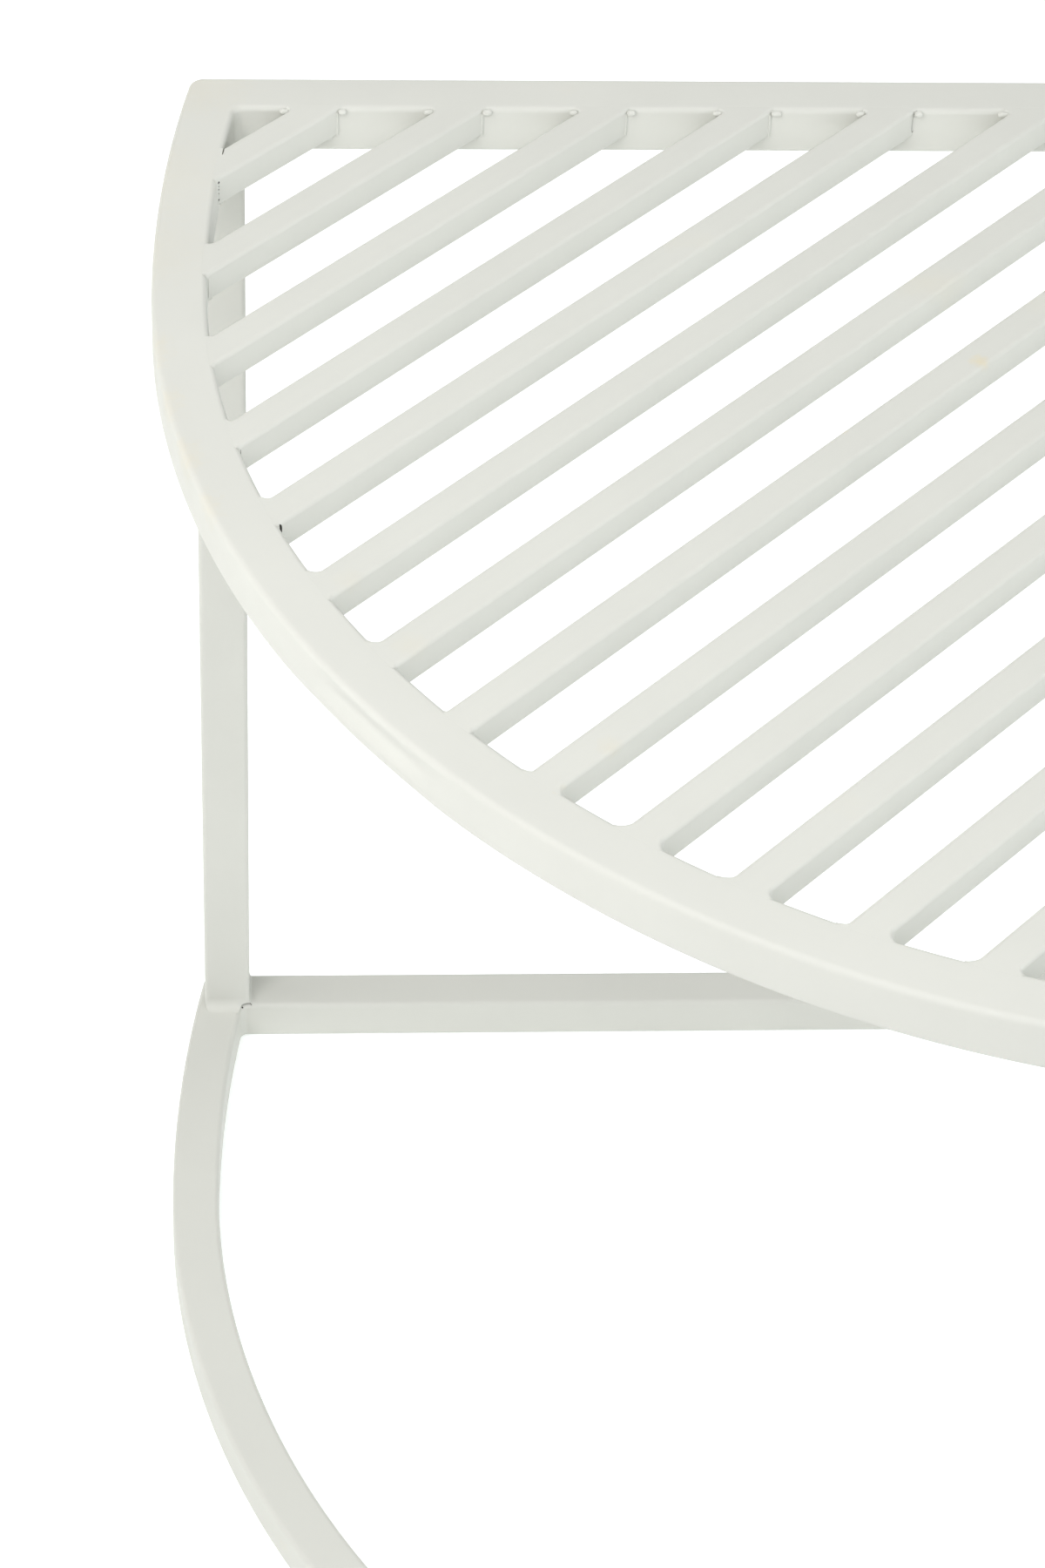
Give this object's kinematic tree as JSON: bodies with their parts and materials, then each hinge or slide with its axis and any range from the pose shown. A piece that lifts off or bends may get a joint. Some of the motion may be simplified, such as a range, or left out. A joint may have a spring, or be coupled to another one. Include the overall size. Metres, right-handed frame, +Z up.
{
  "type": "garden bench",
  "caption": "D-shaped garden bench of welded square steel tube, with diagonal flush slats, three upright legs and a matching floor frame.",
  "frame": {"origin": "on the floor, at the centre of the bench's footprint", "axes": "+X to the right along the straight back, +Y from the half-round front towards the straight back, +Z up"},
  "size_m": [0.73, 0.49, 0.485],
  "materials": {
    "frame_coat": "satin off-white powder coat",
    "slat_coat": "satin off-white powder coat",
    "leg_coat": "satin off-white powder coat",
    "floor_frame_coat": "satin off-white powder coat"
  },
  "bodies": {
    "root": {"seat_back_tube": "frame_coat", "seat_curved_tube": "frame_coat", "slat_01": "slat_coat", "slat_02": "slat_coat", "slat_03": "slat_coat", "slat_04": "slat_coat", "slat_05": "slat_coat", "slat_06": "slat_coat", "slat_07": "slat_coat", "slat_08": "slat_coat", "slat_09": "slat_coat", "slat_10": "slat_coat", "slat_11": "slat_coat", "slat_12": "slat_coat", "slat_13": "slat_coat", "slat_14": "slat_coat", "slat_15": "slat_coat", "slat_16": "slat_coat", "slat_17": "slat_coat", "leg_back_left": "leg_coat", "leg_back_right": "leg_coat", "leg_front": "leg_coat", "floor_back_tube": "floor_frame_coat", "floor_curved_tube": "floor_frame_coat"}
  },
  "joints": []
}
